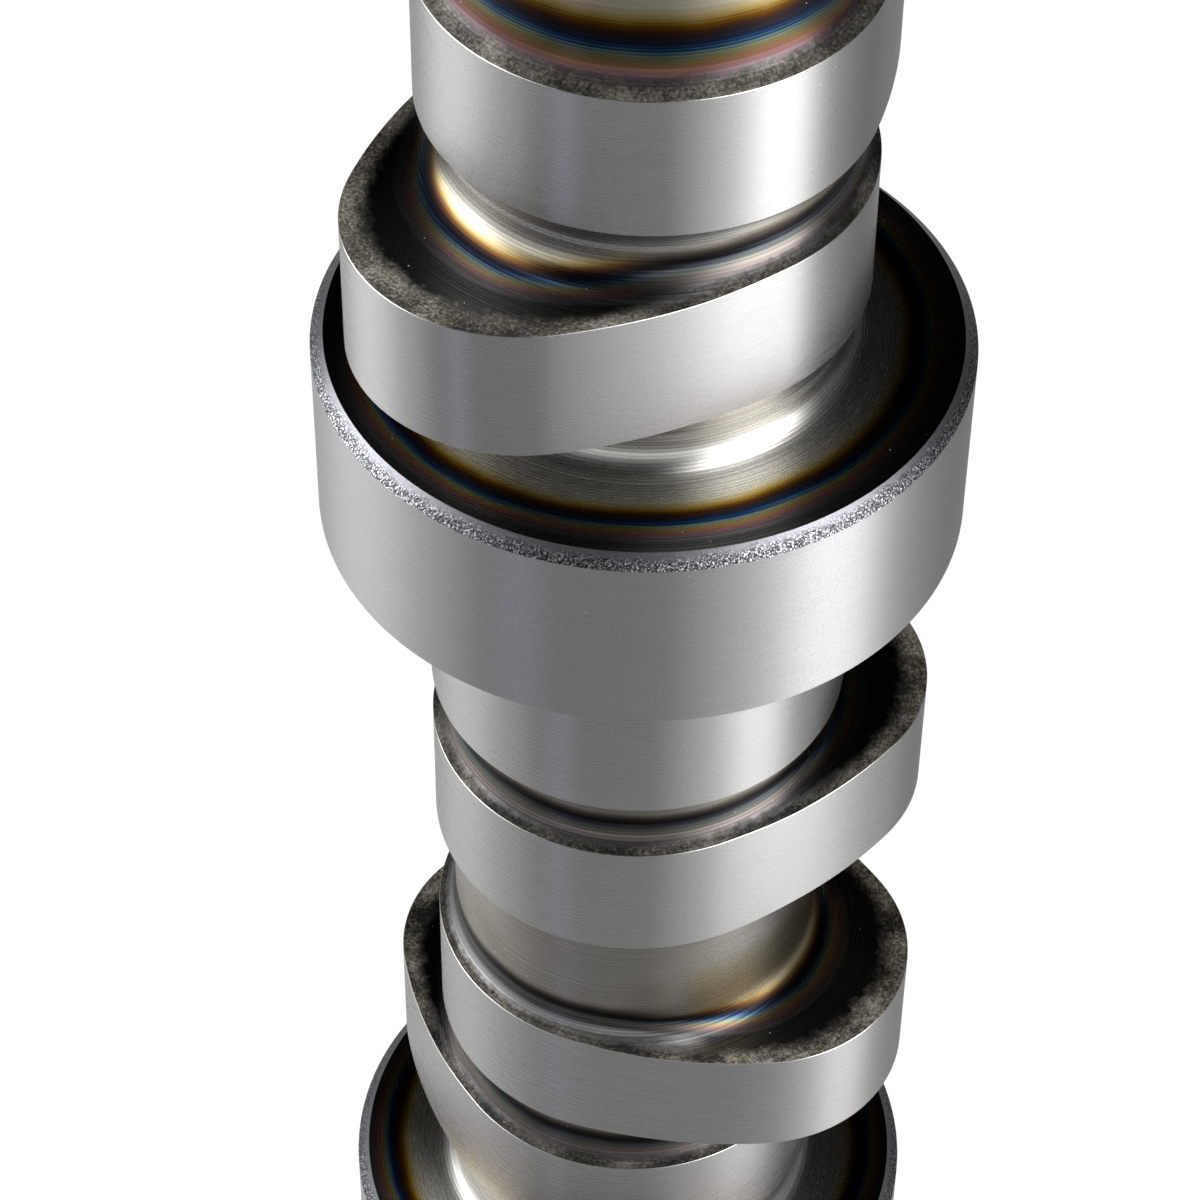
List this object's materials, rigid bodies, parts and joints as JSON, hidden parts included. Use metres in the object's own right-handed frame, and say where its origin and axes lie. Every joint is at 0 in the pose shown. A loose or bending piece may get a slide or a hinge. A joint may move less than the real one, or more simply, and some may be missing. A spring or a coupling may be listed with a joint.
{
  "type": "camshaft",
  "caption": "Roller camshaft of a V engine: ground journals and lobes with dark, heat-tinted grooves between them, drilled through, with a dowel pin in its nose.",
  "frame": {"origin": "centre of the rear end face, on the shaft's axis", "axes": "+Z along the shaft's axis from the rear end to the gear end; +X and +Y are square to it, with the timing set by the picture's view, which looks along +Y and down"},
  "size_m": [0.055, 0.055, 0.4835],
  "materials": {
    "shaft_steel": "ground lobes and journals, dark heat-tinted turned grooves",
    "pin_steel": "ground"
  },
  "bodies": {
    "root": {"camshaft": "shaft_steel", "dowel_pin": "pin_steel"}
  },
  "joints": []
}
